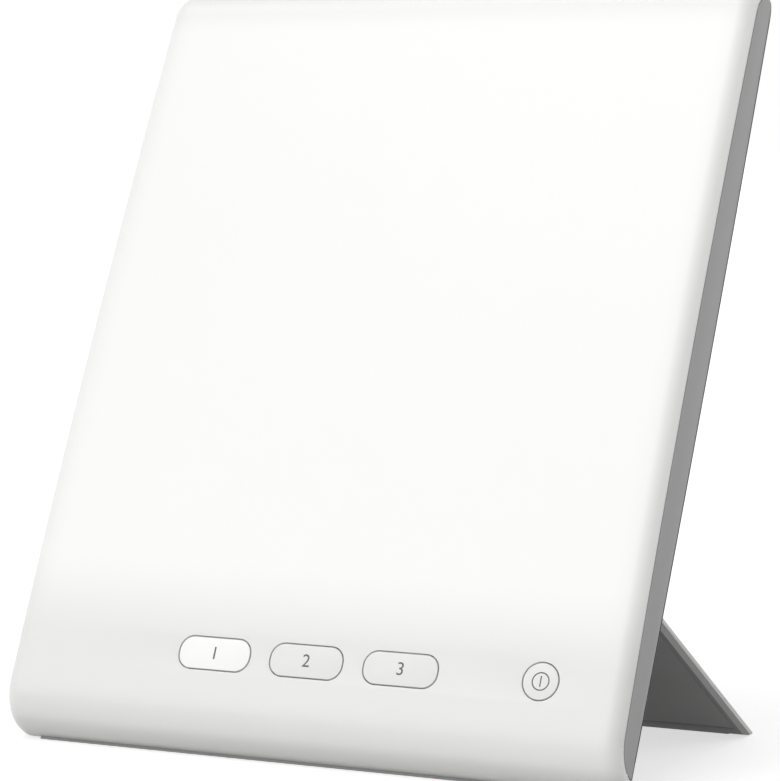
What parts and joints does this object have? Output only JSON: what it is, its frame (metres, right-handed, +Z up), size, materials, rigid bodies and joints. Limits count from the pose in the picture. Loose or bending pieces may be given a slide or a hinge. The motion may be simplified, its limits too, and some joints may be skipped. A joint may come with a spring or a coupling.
{
  "type": "light therapy lamp",
  "caption": "Upright bowed light panel that leans back on a folding rear support plate, with pill-shaped keys and a round power key low on the front.",
  "frame": {"origin": "on the table, in the middle under the whole lamp", "axes": "+Z up, -Y the way the lit front faces, +X to the right seen from the front"},
  "size_m": [0.28, 0.1638, 0.3176],
  "materials": {
    "opal": "polished opal acrylic",
    "grey": "fine moulded grain",
    "lip": "fine moulded grain",
    "dark": "fine moulded grain",
    "rubber": "matt",
    "white": "satin",
    "clear": "polished clear acrylic",
    "silver": "rolled sheet",
    "steel": "turned and zinc plated",
    "board": "solder mask",
    "black": "satin",
    "copper": "enamelled copper winding",
    "amber": "chips on a white strip",
    "red": "wire insulation"
  },
  "bodies": {
    "lamp": {"base_strip": "rubber", "board_ribbon": "white", "control_board": "board", "control_screw_1": "steel", "control_screw_2": "steel", "diffuser_sheet": "white", "driver_board": "board", "driver_capacitor_1": "black", "driver_capacitor_2": "black", "driver_inductor": "copper", "driver_screw_1": "steel", "driver_screw_2": "steel", "friction_washer_left_inner": "steel", "friction_washer_left_outer": "steel", "friction_washer_right_inner": "steel", "friction_washer_right_outer": "steel", "front_cover": "opal", "heat_spreader": "silver", "hinge_bracket_left": "steel", "hinge_bracket_right": "steel", "hinge_pin_left": "steel", "hinge_pin_right": "steel", "hinge_screw_1": "steel", "hinge_screw_2": "steel", "hinge_screw_3": "steel", "hinge_screw_4": "steel", "housing_screw_1": "steel", "housing_screw_2": "steel", "housing_screw_3": "steel", "housing_screw_4": "steel", "housing_screw_5": "steel", "housing_screw_6": "steel", "housing_screw_7": "steel", "housing_screw_8": "steel", "inlet_socket": "black", "key_baffles": "white", "led_strip_left": "amber", "led_strip_right": "amber", "led_wires_left": "red", "led_wires_right": "red", "light_guide_plate": "clear", "panel_frame": "white", "rear_housing": "grey", "reflector_sheet": "white", "switch_left": "black", "switch_middle": "black", "switch_power": "black", "switch_right": "black"},
    "stand": {"stand_frame": "lip", "stand_panel": "dark", "stand_strip": "rubber"},
    "left_key": {"key_left": "opal"},
    "middle_key": {"key_middle": "opal"},
    "right_key": {"key_right": "opal"},
    "power_key": {"key_power": "opal"}
  },
  "joints": [
    {"name": "stand_hinge", "type": "hinge", "parent": "lamp", "child": "stand", "pos_m": [0, -0.03819, 0.06752], "axis": [1, 0, 0], "range_deg": [0, 95.3]},
    {"name": "left_key_press", "type": "slide", "parent": "lamp", "child": "left_key", "axis": [0, 0.8965, -0.4431], "range_m": [0, 0.0006], "stiffness_N_per_m": 2000},
    {"name": "middle_key_press", "type": "slide", "parent": "lamp", "child": "middle_key", "axis": [0, 0.8965, -0.4431], "range_m": [0, 0.0006], "stiffness_N_per_m": 2000},
    {"name": "right_key_press", "type": "slide", "parent": "lamp", "child": "right_key", "axis": [0, 0.8965, -0.4431], "range_m": [0, 0.0006], "stiffness_N_per_m": 2000},
    {"name": "power_key_press", "type": "slide", "parent": "lamp", "child": "power_key", "axis": [0, 0.8965, -0.4431], "range_m": [0, 0.0006], "stiffness_N_per_m": 2000}
  ]
}
